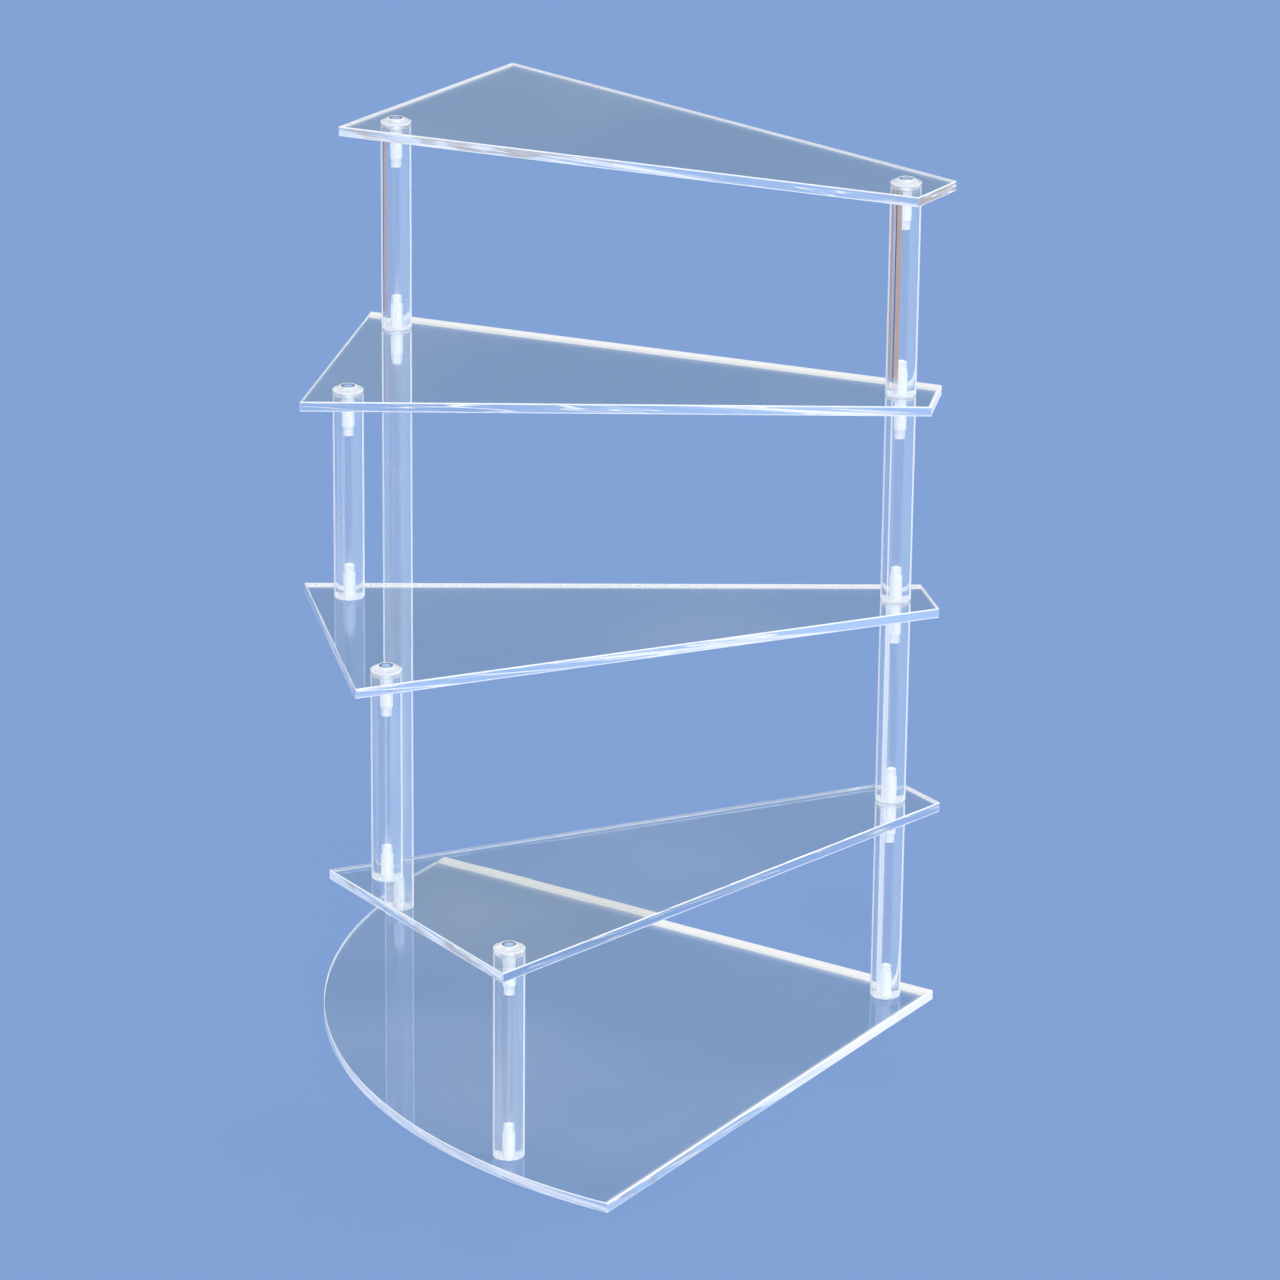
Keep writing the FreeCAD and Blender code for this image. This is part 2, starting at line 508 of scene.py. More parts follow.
# %% Marks on the sides
WHITE = (0.98, 0.98, 0.98)
PAINTED_PALE_VEIL = (0.43, 0.61, 0.86)
PAINTED_DEEP_VEIL = (0.18, 0.31, 0.55)
VEIL_SHARE = 0.9
SCRATCH_AT = 0.46
PAINTED_WARM_REFLECTION = (0.44, 0.38, 0.31)
ARRIS_HIGHLIGHT = (0.45 * MM, 0.8 * MM)
STREAKS_ALONG = 9.0
STREAKS_UP = 420.0
STREAK_CLIMB = 0.045
TEETH_PER_METRE = 330.0
TOOTH_WANDER = 2.0
TOOTH_WIDTH = (0.1, 0.2)
TOOTH_HEIGHT = (1.6 * MM, 2.4 * MM)
BITTEN = (0.45, 0.52)


def slanted_streaks(graph, maps):
    """A noise in long wedges that climb slowly across the side."""
    climbing = (maps.z + maps.along * STREAK_CLIMB) * STREAKS_UP
    return graph.noise(graph.vector(maps.along * STREAKS_ALONG, climbing), 1.0, 1.0)


def saw_bites(graph, maps, place, bottom):
    """Small bites near the lower arris, patchy and uneven, as saw teeth leave them."""
    uneven = graph.noise(place, 120.0, 0.0) * TOOTH_WANDER
    teeth = abs((maps.along * TEETH_PER_METRE + uneven).fraction() - 0.5)
    bites = 1 - graph.ramp(teeth, *TOOTH_WIDTH)
    low_down = 1 - graph.ramp(maps.z - bottom, *TOOTH_HEIGHT)
    in_patches = graph.ramp(graph.noise(place, 16.0, 1.0), *BITTEN)
    return bites * low_down * in_patches * maps.marked


print(f"a saw tooth every {1000 / TEETH_PER_METRE:.1f} mm")

# %% [markdown]
# ## One material for each plate
# Only the sides differ from plate to plate, so one function makes all five materials. It looks
# at how steep the surface is, to tell the faces from the sides. On the faces, a painted white glow
# only spreads in from the sides, over a thin film of dust. On the sides, the white is opened by
# wedges of painted blue, deeper where the side is clearer, and closed again by scratches and the
# painted highlights of the arrises.

# %% Sheet acrylic
LEVEL = (0.80, 0.95)
STREAK_EDGE = (0.47, 0.53)
SCRATCH_EDGE = (0.006, 0.02)
BLUE_FROM = (0.34, 0.50)
BLOTCH_SIZE = (50.0, 50.0, 220.0)
BLOTCH_EDGE = (0.62, 0.78)
DUSTY = (0.40, 0.70)
DUST_SHARE = 0.03
SIDE_ROUGHNESS = 0.03


def sheet_acrylic(node):
    """The material of one plate, with a finish of its own on each side."""
    material, graph = new_material(f"sheet_acrylic_{node}")
    place = graph.place()
    normal = graph.node("ShaderNodeNewGeometry", out="Normal")
    edge = 1 - graph.ramp(abs(graph.split(normal)[2]), *LEVEL)
    maps = SideMaps(graph, node, place)
    low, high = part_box(node)

    streaks = slanted_streaks(graph, maps)
    clear = graph.ramp(streaks + (maps.clear - 0.5) * 0.5, *STREAK_EDGE)
    if any(side.marks for side in SIDES_OF[node].values()):
        clear = clear.highest(saw_bites(graph, maps, place, low.z))
    scratch = 1 - graph.ramp(abs(streaks - SCRATCH_AT), *SCRATCH_EDGE)
    clear = clear * (1 - scratch)
    from_arris = (high.z - maps.z).lowest(maps.z - low.z)
    # Painted highlights along the top and bottom arrises, joined with the scratches.
    line = scratch.highest(1 - graph.ramp(from_arris, *ARRIS_HIGHLIGHT))
    on_edge = (maps.white * (1 - clear)).highest(line * maps.white.root() * MOST_WHITE)
    on_edge = on_edge.highest(clear * VEIL_SHARE)
    dust = graph.ramp(graph.noise(place, 5.0), *DUSTY) * DUST_SHARE
    on_face = (maps.spread * MOST_WHITE).highest(dust)
    cut = edge * on_edge + (1 - edge) * on_face

    # Painted view of the blue ground through the plate: pale blue beside the clear wedges, deep blue in
    # them.
    milk = graph.blend(graph.ramp(streaks, *BLUE_FROM) * maps.clear.root(), WHITE, PAINTED_PALE_VEIL)
    milk = graph.blend(clear, milk, graph.blend(maps.white, PAINTED_DEEP_VEIL, PAINTED_PALE_VEIL))
    # A painted reflection of a warm thing, in broken patches along the side.
    patches = graph.noise(graph.stretched(place, BLOTCH_SIZE), 1.0)
    painted_warm_patches = graph.ramp(patches + maps.warm * 0.35, *BLOTCH_EDGE)
    milk = graph.blend(painted_warm_patches * maps.warm.root(), milk, PAINTED_WARM_REFLECTION)
    milk = graph.blend(line, milk, WHITE)
    milk = graph.blend(edge, WHITE, milk)
    roughness = edge * SIDE_ROUGHNESS + POLISHED
    wave = graph.noise(place, 30.0, 1.0)
    clear_or_cut(graph, SHEET_TINT, cut, milk, roughness, bumped(graph, wave))
    return material


for node in SIDES_OF:
    acrylic = sheet_acrylic(node)
    for slot in NODES[node].material_slots:
        slot.material = acrylic
    print(f"{node}: {len(acrylic.node_tree.nodes)} nodes in its material")

# %% [markdown]
# ## Turned pieces
# Posts, caps, studs and screws are all turned round an axis. Spin or a Screw modifier could make
# them from a profile, but neither can say how a surface was made. Here each is a list of rings,
# from one end of the axis to the other, and each ring holds its cut, from 0 for polished to 1
# for rough, and whether a thread is cut there. The rings are kept as mesh attributes, so that
# Geometry Nodes can cut the thread and the material can find the finish.

# %% Turn a list of rings into a mesh
SHARP_FROM = math.radians(28)


class Ring:
    """A circle round the axis, in millimetres, with how it was made."""

    def __init__(self, radius, height, cut=0.0, thread=0.0):
        self.radius = radius * MM
        self.height = height * MM
        self.cut = cut
        self.thread = thread

    def points(self, sides):
        count = sides if self.radius > 0 else 1
        angles = [math.tau * side / sides for side in range(count)]
        return [(self.radius * math.cos(a), self.radius * math.sin(a), self.height) for a in angles]


def ring_faces(sizes, sides):
    """Faces between rings of these sizes. A ring of one point is a pole."""
    faces = []
    start = 0
    for size, following in zip(sizes, sizes[1:]):
        after = start + size
        for side in range(sides):
            beside = (side + 1) % sides
            if size == 1:
                faces.append((start, after + beside, after + side))
            elif following == 1:
                faces.append((start + side, start + beside, after))
            else:
                faces.append((start + side, start + beside, after + beside, after + side))
        start = after
    return faces


def turned(name, rings, sides):
    """A closed mesh of revolution that starts and ends at a pole."""
    points = [ring.points(sides) for ring in rings]
    places = [place for ring_points in points for place in ring_points]
    mesh = bpy.data.meshes.new(name)
    mesh.from_pydata(places, [], ring_faces([len(ring_points) for ring_points in points], sides))
    for key in ("cut", "thread"):
        values = [getattr(ring, key) for ring, own in zip(rings, points) for place in own]
        mesh.attributes.new(key, "FLOAT", "POINT").data.foreach_set("value", values)
    own_place = mesh.attributes.new("own_place", "FLOAT_VECTOR", "POINT")
    own_place.data.foreach_set("vector", [part for place in places for part in place])
    mesh.shade_smooth()
    mesh.set_sharp_from_angle(angle=SHARP_FROM)
    return put(name, mesh)


print("edges sharper than", round(math.degrees(SHARP_FROM)), "degrees stay crisp")

# %% [markdown]
# ## Cutting the thread
# A thread is a rule: the radius depends only on the height and on the angle round the axis. A
# Geometry Nodes tree applies that rule wherever a ring asked for a thread. The same rule cuts
# the studs and the holes that they go into, so the two always fit.

# %% The thread tree
PITCH = 0.7 * MM
THREAD_DEPTH = 0.35 * MM


def new_tree(name, inputs):
    """An empty Geometry Nodes tree with named inputs, and its input node."""
    tree = bpy.data.node_groups.new(name, "GeometryNodeTree")
    for label, kind in {"Geometry": "NodeSocketGeometry", **inputs}.items():
        tree.interface.new_socket(name=label, in_out="INPUT", socket_type=kind)
    tree.interface.new_socket(name="Geometry", in_out="OUTPUT", socket_type="NodeSocketGeometry")
    graph = Graph(tree)
    return tree, graph, graph.node("NodeGroupInput", out="Geometry")


def thread_tree():
    inputs = {"Pitch": "NodeSocketFloat", "Depth": "NodeSocketFloat"}
    tree, graph, given = new_tree("cut_thread", inputs)
    x, y, z = graph.split(graph.node("GeometryNodeInputPosition"))
    along = (z / given.beside("Pitch") - y.angle_from(x) / math.tau).fraction()
    flank = abs(along * 2 - 1)
    attribute = {"data_type": "FLOAT"}
    wanted = graph.node("GeometryNodeInputNamedAttribute", attribute, {"Name": "thread"}, "Attribute")
    outward = graph.vector_math("NORMALIZE", {0: graph.vector(x, y)})
    rise = flank * given.beside("Depth") * wanted
    push = graph.vector_math("SCALE", {0: outward, "Scale": rise})
    moved = graph.node("GeometryNodeSetPosition", {}, {"Geometry": given, "Offset": push})
    graph.node("NodeGroupOutput", {}, {"Geometry": moved})
    return tree


THREAD_TREE = thread_tree()
print("the thread tree has", len(THREAD_TREE.nodes), "nodes")

# %% [markdown]
# ## Running a tree
# A tree runs as a modifier, whose inputs are set by the sockets' identifiers before the piece is
# looked at for the first time. The result is copied out as a plain mesh and the modifier is
# taken off again, so that what is left is only a mesh.

# %% Run a tree on a piece
def made_plain(piece, modifier):
    """The mesh that a modifier makes of piece. The modifier is taken off again."""
    evaluated = piece.evaluated_get(bpy.context.evaluated_depsgraph_get())
    mesh = bpy.data.meshes.new_from_object(evaluated)
    piece.modifiers.remove(modifier)
    return mesh


def run_tree(piece, tree, **inputs):
    """Runs a tree on piece with its named inputs, and returns the plain mesh."""
    modifier = piece.modifiers.new(tree.name, "NODES")
    modifier.node_group = tree
    identifiers = {item.name: item.identifier for item in tree.interface.items_tree}
    for name, value in inputs.items():
        modifier[identifiers[name.replace("_", " ")]] = value
    return made_plain(piece, modifier)


def cut_threads(piece):
    piece.data = run_tree(piece, THREAD_TREE, Pitch=PITCH, Depth=THREAD_DEPTH)
    return piece


print(f"pitch {PITCH / MM} mm, depth {THREAD_DEPTH / MM} mm")

# %% [markdown]
# ## Threads and tapped holes
# Each end of a post has a blind tapped hole for an M4 stud: a thread, then the pilot hole that
# the tap followed, then the cone of the drill's point. Tapped plastic is white and ragged, and
# that white core is what the eye sees of the fixing through the clear rod. A thread needs rings
# close together to be cut into, and it starts and ends softly over half a turn.

# %% Rings of threads and holes
THREAD_CORE = 1.65
THREAD_PLAY = 0.05
TAPPED = 13.0
DRILLED = 17.0
PILOT = 1.65
DRILL_ANGLE = 118
DRILL_POINT = PILOT / math.tan(math.radians(DRILL_ANGLE / 2))
POINT_CUT = 0.95
PILOT_CUT = 0.75
TAPPED_CUT = 0.92
ROWS_PER_TURN = 6


def thread_rings(radius, start, end, cut):
    """Rings that carry a thread from height start to height end."""
    rows = round(abs(end - start) * MM / PITCH * ROWS_PER_TURN)
    rings = []
    for row in range(rows + 1):
        turns_from_end = min(row, rows - row) / ROWS_PER_TURN
        rings.append(Ring(radius, start + (end - start) * row / rows, cut, min(1.0, 2 * turns_from_end)))
    return rings


def hole_rings(mouth, inward):
    """A tapped hole from its drill point to its mouth. Inward is 1 if it goes up, or -1."""
    deep = mouth + inward * DRILLED
    full = mouth + inward * TAPPED
    rings = [Ring(0, deep + inward * DRILL_POINT, POINT_CUT), Ring(PILOT, deep, POINT_CUT)]
    for place in (deep - inward * 0.6, full + inward * 0.2):
        rings.append(Ring(PILOT, place, PILOT_CUT))
    return rings + thread_rings(THREAD_CORE + THREAD_PLAY, full, mouth, TAPPED_CUT)


print("rings in one tapped hole:", len(hole_rings(0, 1)))

# %% [markdown]
# ## Rods, studs, screws and caps
# A rod is polished along its length, sawn white at its foot and cleaner at its head. Dry plastic
# never quite touches a plate, so the rod stops a hair short of it: that film of air is what
# keeps the two surfaces apart for the light, too. The studs and screws are plain white nylon.
# A cap is a flat button with a rim, a bevel with bright outlines, and a shallow dimple on top.

# %% Rings of the turned pieces
AIR = 0.02
ROD_ARRIS = 0.25
HEAD_CUT = 0.25
RAGGED_MOUTH = 3.0
TIP = 0.3
SCREW_HEAD = 3.8
SOCKET_DEPTH = 1.6
SOCKET = 2.05


def rod_rings(length):
    """A rod with a tapped hole in each end."""
    radius = ROD_RADIUS / MM
    low = AIR
    high = length / MM - AIR
    foot = [(radius - ROD_ARRIS, low, 1.0), (radius, low + ROD_ARRIS, 1.0)]
    side = [(radius, low + 3 * ROD_ARRIS), (radius, high - 3 * ROD_ARRIS)]
    arris = [(radius, high - ROD_ARRIS, 0.7), (radius - ROD_ARRIS, high, HEAD_CUT)]
    outside = foot + side + arris + [(RAGGED_MOUTH, high, HEAD_CUT)]
    return hole_rings(low, 1) + [Ring(*ring) for ring in outside] + hole_rings(high, -1)[::-1]


def stud_rings(length):
    """A headless threaded pin with a small chamfer at each end."""
    high = length / MM
    rings = [Ring(0, 0), Ring(THREAD_CORE - TIP, 0)]
    rings += thread_rings(THREAD_CORE, TIP, high - TIP, 0.0)
    return rings + [Ring(THREAD_CORE - TIP, high), Ring(0, high)]


def screw_rings(length):
    """A countersunk screw that points up: its head, then its thread."""
    high = length / MM
    rings = [Ring(0, 0), Ring(SCREW_HEAD - 0.1, 0), Ring(SCREW_HEAD, 0.08), Ring(2.0, 1.9)]
    rings += thread_rings(THREAD_CORE, 2.2, high - TIP, 0.0)
    return rings + [Ring(THREAD_CORE - TIP, high), Ring(0, high)]


def cap_rings(length):
    """The button, from its socket up over the rim and the bevel to the dimple."""
    radius = ROD_RADIUS / MM
    top = length / MM
    socket = [(0, SOCKET_DEPTH, 0.1), (SOCKET, SOCKET_DEPTH, 0.3), (SOCKET, AIR, 0.6)]
    rim = [(radius - 0.15, AIR, 0.35), (radius, 0.15, 0.95), (radius, 0.25, 0.7)]
    rim += [(radius, 0.45, 0.7), (radius, 0.55, 0.95), (radius - 0.15, 0.7, 0.95)]
    bevel = [(radius - 0.6, 0.93, 0.5), (4.4, top - 0.33, 0.5), (4.0, top - 0.08, 0.95)]
    flat = [(3.85, top, 0.95), (3.6, top, 0.9)]
    dimple = [(3.4, top - 0.12), (3.1, top - 0.22), (2.7, top - 0.25), (0, top - 0.25)]
    return [Ring(*ring) for ring in socket + rim + bevel + flat + dimple]


print("rings of a rod:", len(rod_rings(height("pivot_post_1"))))
print("rings of a cap:", len(cap_rings(height("pivot_cap"))))

# %% [markdown]
# ## The screwdriver slot
# A nylon screw has a plain slot across its head. A slot isn't round, so no ring can say it. A
# Boolean modifier cuts it with a small blade, as a slotting saw would.

# %% Cut a slot
SLOT_WIDTH = 1.0 * MM
SLOT_DEPTH = 1.1 * MM
BLADE_REACH = 5.0 * MM


def blade():
    """A box that reaches across the screw's head and a little below it."""
    mesh = bpy.data.meshes.new("blade")
    places = []
    for z in (-SLOT_DEPTH, SLOT_DEPTH):
        for x, y in ((-1, -1), (1, -1), (1, 1), (-1, 1)):
            places.append((x * BLADE_REACH, y * SLOT_WIDTH / 2, z))
    sides = [(0, 1, 5, 4), (1, 2, 6, 5), (2, 3, 7, 6), (3, 0, 4, 7)]
    mesh.from_pydata(places, [], [(3, 2, 1, 0), (4, 5, 6, 7)] + sides)
    return put("blade", mesh)


def slotted(screw):
    tool = blade()
    modifier = screw.modifiers.new("slot", "BOOLEAN")
    modifier.object = tool
    screw.data = made_plain(screw, modifier)
    bpy.data.objects.remove(tool)
    return screw


print(f"slot {SLOT_WIDTH / MM} mm wide and {SLOT_DEPTH / MM} mm deep")

# %% [markdown]
# ## Stripes along a rod
# A clear rod is a lens: it squeezes everything behind it into upright stripes. Cycles bends the
# light, but the windows and walls of a real room aren't there to be bent. So their image is painted
# on as soft upright stripes of painted reflection, laid by the way the surface faces, in degrees
# round from +X. They stay on the rod when the camera moves, and all rods show them on the same side,
# as pieces in one room do.

# %% Find the way a rod faces
def faced_angle(graph, normal):
    """The way an upright surface faces, in degrees round from +X."""
    x, y = graph.split(normal)[:2]
    return y.angle_from(x) * math.degrees(1)


def stripe(graph, angle, centre, half_width, soft):
    """1 where a rod faces the way centre, fading out past half_width. All are in degrees."""
    return 1 - graph.ramp(abs(angle - centre), half_width, half_width + soft)


print("one radian is", round(math.degrees(1), 2), "degrees")

# %% [markdown]
# ## The bright sides of a rod
# A clear rod lights up along its two sides, where its surface turns away, and that is how one
# sees that it is round. That light is a painted highlight: the rod is painted milky white where
# Layer Weight says that its surface turns away. But to look down on a rod turns all of it away,
# and it would go white from above. The same measure on a level surface says how steeply one looks
# down, so dividing by it leaves only the turn round the rod.

# %% Find the sides of a rod
RIM = (0.40, 0.53)
UPRIGHT = (0.2, 0.6)


def turned_to_view(graph, normal=None):
    """1 where a surface squarely faces the eye, 0 where it is seen along."""
    inputs = {"Blend": 0.5}
    if normal is not None:
        inputs["Normal"] = normal
    return 1 - graph.node("ShaderNodeLayerWeight", {}, inputs, "Facing")


def painted_rim_highlight(graph, normal):
    """The painted highlight along the two sides of an upright rod, from wherever it is seen: 1 there."""
    steepness = turned_to_view(graph, graph.vector(z=1.0))
    squareness = turned_to_view(graph) / (1 - steepness * steepness).root()
    upright = 1 - graph.ramp(abs(graph.split(normal)[2]), *UPRIGHT)
    return (1 - graph.ramp(squareness, *RIM)) * upright


print("a rim starts", round(math.degrees(math.acos(RIM[1]))), "degrees round from a rod's middle")

# %% [markdown]
# ## What the rods bend into stripes
# All rods show a broad pale stripe of painted reflection on their right, painted light gathered
# above their foot, and a thin painted bright line left of their middle. On the column that line is
# bright, over a broad painted band of light that is strong in the two lower storeys. In the top
# storey a painted reflection of a tan thing with a brown edge takes its place.
# Each stripe is a colour and a mask: a way round the rod, a half width and a soft end.

# %% Stripes of the rods
PAINTED_PALE_REFLECTION = (0.62, 0.79, 0.95)
PAINTED_TAN_REFLECTION = (0.56, 0.35, 0.25)
PAINTED_BROWN_REFLECTION = (0.13, 0.10, 0.09)
THIN_LINE = (-92.0, 2.5, 2.5)
BAND = (-87.0, 9.0, 4.0)
PAINTED_FOOT_LIGHT = (-20.0, 38.0, 8.0)
PALE_SIDE = (-22.0, 14.0, 14.0)
BESIDE_RIM = (-113.0, 6.0, 4.0)
BROWN_EDGE = (-113.0, 2.0, 2.5)
TAN_AT = -100.0
COLUMN_SHIFT = 20.0
ABOVE_FOOT = (12 * MM, 40 * MM)
THIRD_FOOT = foot_height("outer_post_3")
TOP_FOOT = foot_height(f"outer_post_{STEPS}")


def painted_light_stripes(graph, angle, by_column, above_foot, storeys):
    """The painted bright line and band of the column, and the painted light above every foot."""
    low, top = storeys
    line = stripe(graph, angle, *THIN_LINE) * (by_column * 0.6 + 0.2)
    band = stripe(graph, angle, *BAND) * by_column * (low * 0.55 + 0.15)
    painted_foot_light = stripe(graph, angle, *PAINTED_FOOT_LIGHT) * (0.3 - by_column * 0.2)
    foot = 1 - graph.ramp(above_foot, *ABOVE_FOOT)
    return (line.highest(band) * (1 - top)).highest(painted_foot_light * foot)


def warm_stripes(graph, angle, by_column, top):
    """The painted reflections of a tan thing and its brown edge, in the top storey."""
    shifted = angle - by_column * COLUMN_SHIFT
    tan = stripe(graph, shifted, TAN_AT, by_column * 3.0 + 4.0, 3.0)
    beside_rim = stripe(graph, angle, *BESIDE_RIM) * by_column
    brown = stripe(graph, shifted, *BROWN_EDGE)
    return tan.highest(beside_rim) * top, brown * top


print(f"the top storey starts {TOP_FOOT:.3f} m up")

# %% [markdown]
# ## Rod acrylic
# The cut ends and threads are milky, and drawing left faint lines along the rod. The highest of
# all shares wins at each point, so that no sum can pass 1. The colours of the painted reflections
# are laid over each other, the narrowest last.

# %% Rod acrylic
UNEVEN = (0.4, 0.6)
RAGGED_BLUE = (0.91, 0.95, 0.98)
RAGGED_GRAIN = 900.0
DRAWN = (0.54, 0.66)
DRAWN_SHARE = 0.14
HAZE = 0.06
BY_COLUMN = (0.02, 0.03)
PALE_SHARE = 0.26
TAN_SHARE = 0.9
BROWN_SHARE = 0.95
ROD_ROUGHNESS = 0.4


def rod_acrylic():
    material, graph = new_material("rod_acrylic")
    place = graph.place()
    cut = graph.attribute("cut")
    geometry = graph.node("ShaderNodeNewGeometry", out="Normal")
    polished = (1 - cut) * (1 - geometry.beside("Backfacing"))
    angle = faced_angle(graph, geometry)

    ragged = graph.ramp(graph.noise(place, RAGGED_GRAIN), *UNEVEN)
    milk = graph.blend(ragged, RAGGED_BLUE, WHITE)
    drawn = graph.ramp(graph.noise(graph.stretched(place, (1.0, 1.0, 0.01)), 450.0, 3.0), *DRAWN)
    haze = (drawn * DRAWN_SHARE + HAZE) * (1 - cut)

    x, y, z = graph.split(place)
    by_column = 1 - graph.ramp(abs(x - COLUMN.x) + abs(y - COLUMN.y), *BY_COLUMN)
    low = 1 - graph.ramp(z, THIRD_FOOT - MM, THIRD_FOOT)
    top = graph.ramp(z, TOP_FOOT, TOP_FOOT + 12 * MM)
    above_foot = graph.split(graph.attribute("own_place", "Vector"))[2]
    # Painted light and painted reflections, laid only on the polished outside of a rod.
    painted_light = painted_light_stripes(graph, angle, by_column, above_foot, (low, top)) * polished
    pale_reflection = stripe(graph, angle, *PALE_SIDE) * polished
    tan, brown = warm_stripes(graph, angle, by_column, top * polished)

    milk = graph.blend(pale_reflection, milk, PAINTED_PALE_REFLECTION)
    milk = graph.blend(tan, milk, PAINTED_TAN_REFLECTION)
    milk = graph.blend(brown, milk, PAINTED_BROWN_REFLECTION)
    # The painted highlight along the rod's sides is one of the shares.
    share = (cut * MOST_WHITE + haze).highest(painted_rim_highlight(graph, geometry) * MOST_WHITE).highest(painted_light)
    for mask, most in ((pale_reflection, PALE_SHARE), (tan, TAN_SHARE), (brown, BROWN_SHARE)):
        share = share.highest(mask * most)
    relief = graph.noise(graph.stretched(place, (1.0, 1.0, 0.02)), 700.0)
    roughness = cut * ROD_ROUGHNESS + POLISHED
    clear_or_cut(graph, ROD_TINT, share, milk, roughness, bumped(graph, relief))
    return material


ROD_ACRYLIC = rod_acrylic()
print("rod acrylic:", len(ROD_ACRYLIC.node_tree.nodes), "nodes")

# %% [markdown]
# ## Caps and nylon
# A cap is turned from the same rod. Its rim and bevel are left half white, with whiter outlines
# that its rings already name. In the dimple on top, a deep ring of painted shade stands for the
# shade of its wall, round a floor painted plain blue for the ground seen through it. The nylon of
# studs and screws is dull, opaque and very slightly uneven.

# %% Cap acrylic and nylon
DIMPLE_PAINTED_SHADE = (0.05, 0.09, 0.20)
DIMPLE_PAINTED_BLUE = (0.28, 0.48, 0.82)
DIMPLE_SHARE = 0.85
TOP_EDGE = (1.8 * MM, 2.1 * MM)
DIMPLE_EDGE = (3.35 * MM, 3.5 * MM)
FLOOR_EDGE = (2.0 * MM, 2.7 * MM)
CAP_BLUE = (0.88, 0.94, 0.98)
CAP_ROUGHNESS = 0.3
NYLON = ((0.93, 0.94, 0.95), (0.97, 0.97, 0.97))
NYLON_ROUGHNESS = 0.36


def cap_acrylic():
    material, graph = new_material("cap_acrylic")
    place = graph.place()
    cut = graph.attribute("cut")
    x, y, z = graph.split(graph.attribute("own_place", "Vector"))
    out = (x * x + y * y).root()
    on_top = graph.ramp(z, *TOP_EDGE)
    dimple = on_top * (1 - graph.ramp(out, *DIMPLE_EDGE))
    dimple_floor = on_top * (1 - graph.ramp(out, *FLOOR_EDGE))
    uneven = graph.ramp(graph.noise(place, RAGGED_GRAIN), *UNEVEN)
    colour = graph.blend(uneven, CAP_BLUE, WHITE)
    # Painted shade in the dimple's ring, and painted blue on its floor for the ground seen through it.
    colour = graph.blend(dimple, colour, DIMPLE_PAINTED_SHADE)
    colour = graph.blend(dimple_floor, colour, DIMPLE_PAINTED_BLUE)
    share = (cut * MOST_WHITE).highest(dimple * DIMPLE_SHARE)
    roughness = cut * CAP_ROUGHNESS + POLISHED
    relief = graph.noise(place, 500.0)
    clear_or_cut(graph, ROD_TINT, share, colour, roughness, bumped(graph, relief))
    return material


def white_nylon():
    material, graph = new_material("white_nylon")
    shade = graph.noise(graph.place(), 400.0)
    colour = graph.blend(shade, *NYLON)
    roughness = shade * 0.12 + NYLON_ROUGHNESS
    inputs = {"Base Color": colour, "Roughness": roughness, "Normal": bumped(graph, shade)}
    graph.output(graph.principled(inputs))
    return material


FINISHES = {"rod_acrylic": ROD_ACRYLIC, "cap_acrylic": cap_acrylic(), "white_nylon": white_nylon()}
print("finishes of turned pieces:", list(FINISHES))

# %% [markdown]
# ## Climbing the stair
# Posts, caps, studs and screws repeat up the stair, one turn and one storey at a time. Copying
# them by hand would hide that rule. A Geometry Nodes tree says it: a line of points is bent into
# a spiral, one copy of the master stands on each point, and the copies are made real and given
# their material. A reach and a turn of nothing make the same tree stack pieces up the column.

# %% The stair tree
STAIR_INPUTS = {
    "Count": "NodeSocketInt",
    "Centre": "NodeSocketVector",
    "Reach": "NodeSocketFloat",
    "First Angle": "NodeSocketFloat",
    "Turn": "NodeSocketFloat",
    "Storey": "NodeSocketFloat",
    "Finish": "NodeSocketMaterial",
}


def stair_tree():
    tree, graph, given = new_tree("climb_the_stair", STAIR_INPUTS)
    points = graph.node("GeometryNodeMeshLine", {}, {"Count": given.beside("Count")})
    number = graph.node("GeometryNodeInputIndex")
    angle = given.beside("First Angle") + number * given.beside("Turn")
    reach = given.beside("Reach")
    along = angle.math("COSINE", angle) * reach
    across = angle.math("SINE", angle) * reach
    spoke = graph.vector(along, across, number * given.beside("Storey"))
    place = graph.vector_math("ADD", {0: spoke, 1: given.beside("Centre")})
    points = graph.node("GeometryNodeSetPosition", {}, {"Geometry": points, "Position": place})
    copies = {"Points": points, "Instance": given, "Rotation": graph.vector(z=angle)}
    copies = graph.node("GeometryNodeInstanceOnPoints", {}, copies)
    real = graph.node("GeometryNodeRealizeInstances", {}, {"Geometry": copies})
    finish = {"Geometry": real, "Material": given.beside("Finish")}
    done = graph.node("GeometryNodeSetMaterial", {}, finish)
    graph.node("NodeGroupOutput", {}, {"Geometry": done})
    return tree


STAIR_TREE = stair_tree()
print("the stair tree has", len(STAIR_TREE.nodes), "nodes")

# %% [markdown]
# ## From a master to finished pieces
# One helper makes a master at the size of the first CAD node, runs the stair tree on it with its
# finish, hangs the new piece under the root, hides the nodes that it stands for, and throws the
# master away.

# %% Make copies up the stair
def numbered(stem, count):
    return [f"{stem}_{number}" for number in range(1, count + 1)]


def climb(name, make, slot, replaced, outer=True, start=0):
    """One copy for each replaced node, at the outer stations or up the column."""
    master = make(replaced[0])
    mesh = run_tree(
        master,
        STAIR_TREE,
        Count=len(replaced),
        Centre=(COLUMN.x, COLUMN.y, foot_height(replaced[0])),
        Reach=REACH if outer else 0.0,
        First_Angle=FIRST_ANGLE + start * TURN if outer else 0.0,
        Turn=TURN if outer else 0.0,
        Storey=STOREY,
        Finish=FINISHES[slot],
    )
    mesh.name = name
    piece = put(name, mesh)
    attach(piece, "root")
    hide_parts(*replaced)
    bpy.data.objects.remove(master)
    print(f"{name}: {len(replaced)} copies, {len(mesh.polygons)} faces")


